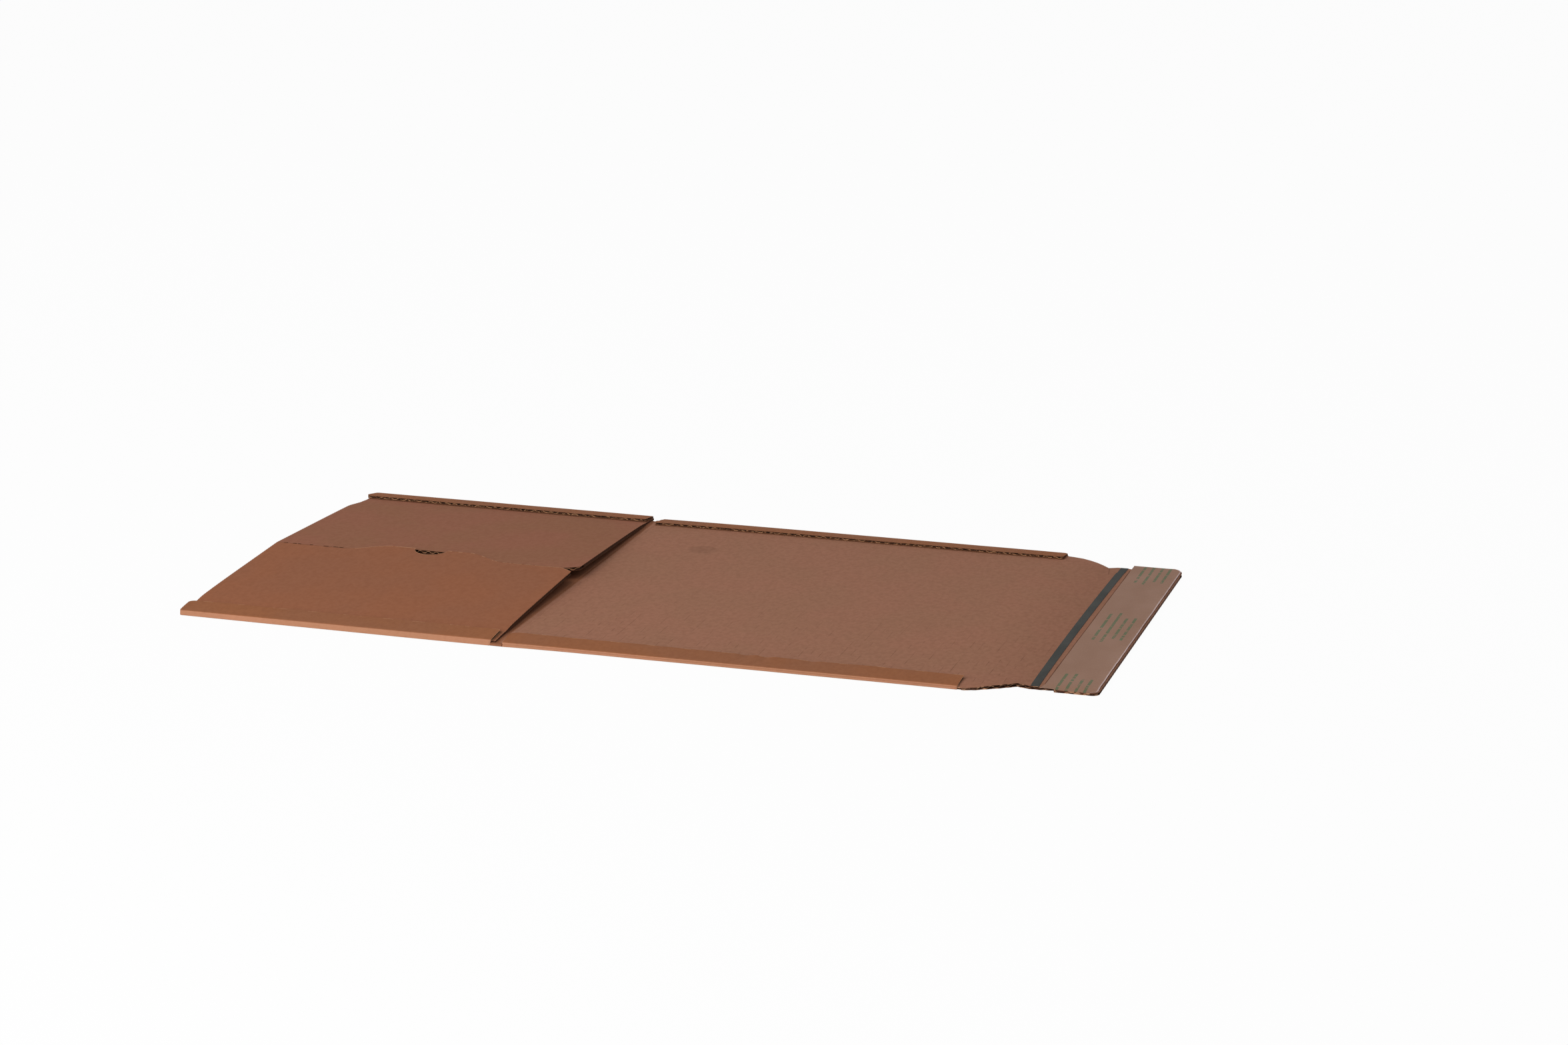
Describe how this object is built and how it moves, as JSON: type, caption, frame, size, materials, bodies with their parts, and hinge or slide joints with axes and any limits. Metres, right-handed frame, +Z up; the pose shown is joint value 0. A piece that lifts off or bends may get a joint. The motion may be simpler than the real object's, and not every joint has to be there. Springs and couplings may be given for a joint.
{
  "type": "wraparound mailer",
  "caption": "Open wraparound mailer of corrugated board: a flat pocket with hinged doors and a thumb notch, beside a wrap panel with a tear tape and a self-seal strip.",
  "frame": {"origin": "centre of the overall box, on the surface the mailer lies on", "axes": "+X along the wrap from the pocket to the self-seal end, +Y across the wrap away from the near fold, +Z up"},
  "size_m": [0.6274, 0.353, 0.0118],
  "materials": {
    "kraft": "matte uncoated kraft",
    "near_door_kraft": "matte uncoated kraft",
    "far_door_kraft": "matte uncoated kraft",
    "inner_kraft": "matte uncoated kraft, grey-brown inner liner",
    "tape_film": "dark satin tear tape",
    "adhesive": "satin amber hot-melt",
    "silicone_paper": "smooth siliconised brown paper"
  },
  "bodies": {
    "pocket": {"pocket_base": "kraft"},
    "near_door": {"near_door": "near_door_kraft"},
    "far_door": {"far_door": "far_door_kraft"},
    "wrap": {"wrap_panel": "inner_kraft", "tear_tape": "tape_film", "adhesive_strip": "adhesive", "release_liner": "silicone_paper"}
  },
  "joints": [
    {"name": "near_door_hinge", "type": "hinge", "parent": "pocket", "child": "near_door", "pos_m": [0, -0.1561, 0.0038], "axis": [1, 0, 0], "range_deg": [0, 110]},
    {"name": "far_door_hinge", "type": "hinge", "parent": "pocket", "child": "far_door", "pos_m": [0, 0.1561, 0.0038], "axis": [-1, 0, 0], "range_deg": [0, 110]},
    {"name": "wrap_hinge", "type": "hinge", "parent": "pocket", "child": "wrap", "pos_m": [-0.0854, 0, 0.0025], "axis": [0, -1, 0], "range_deg": [0, 90]}
  ]
}
